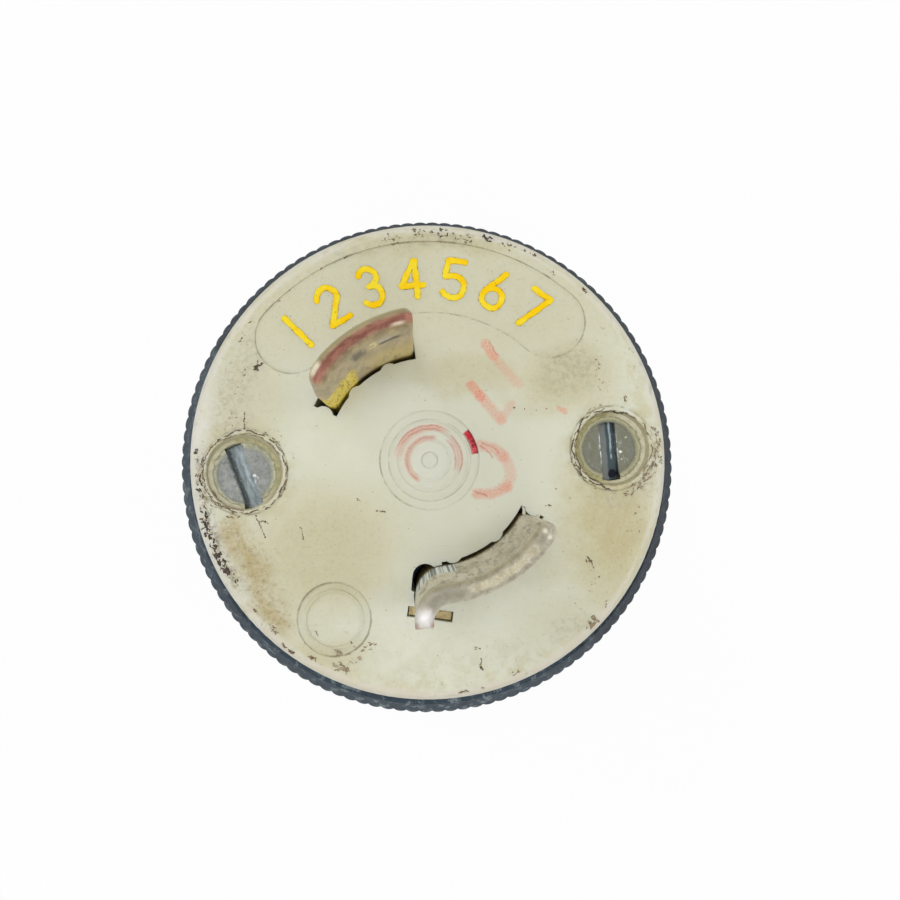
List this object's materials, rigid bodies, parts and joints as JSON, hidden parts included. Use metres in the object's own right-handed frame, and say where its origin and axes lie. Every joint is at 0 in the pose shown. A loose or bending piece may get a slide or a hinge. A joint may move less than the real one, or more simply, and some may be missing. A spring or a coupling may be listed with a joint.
{
  "type": "locking plug",
  "caption": "Round electrical locking plug with an ivory face, curved blades that turn to lock, a black knurled shell and a cord clamp at the rear.",
  "frame": {"origin": "centre of the flat cord end, on which the plug stands", "axes": "+Z along the plug's axis towards the blades, +X through the two face screws, +Y towards the arched panel on the face"},
  "size_m": [0.0404, 0.0404, 0.06],
  "materials": {
    "ivory_plastic": "aged moulded ivory, soiled and scratched",
    "black_plastic": "satin moulded black with knurled collar",
    "carrier_plastic": "dark moulded insulator",
    "brass": "tarnished brass",
    "nickel": "dull nickel plating on brass",
    "zinc_steel": "scratched zinc-plated steel"
  },
  "bodies": {
    "root": {"face_plate": "ivory_plastic", "body_shell": "black_plastic", "blade_carrier": "carrier_plastic", "hot_blade": "brass", "neutral_blade": "nickel", "hot_wire_clamp": "brass", "neutral_wire_clamp": "nickel", "hot_terminal_screw": "brass", "neutral_terminal_screw": "nickel", "face_screws": "zinc_steel", "shell_inserts": "brass", "cord_clamp": "black_plastic", "cord_clamp_screws": "zinc_steel"}
  },
  "joints": []
}
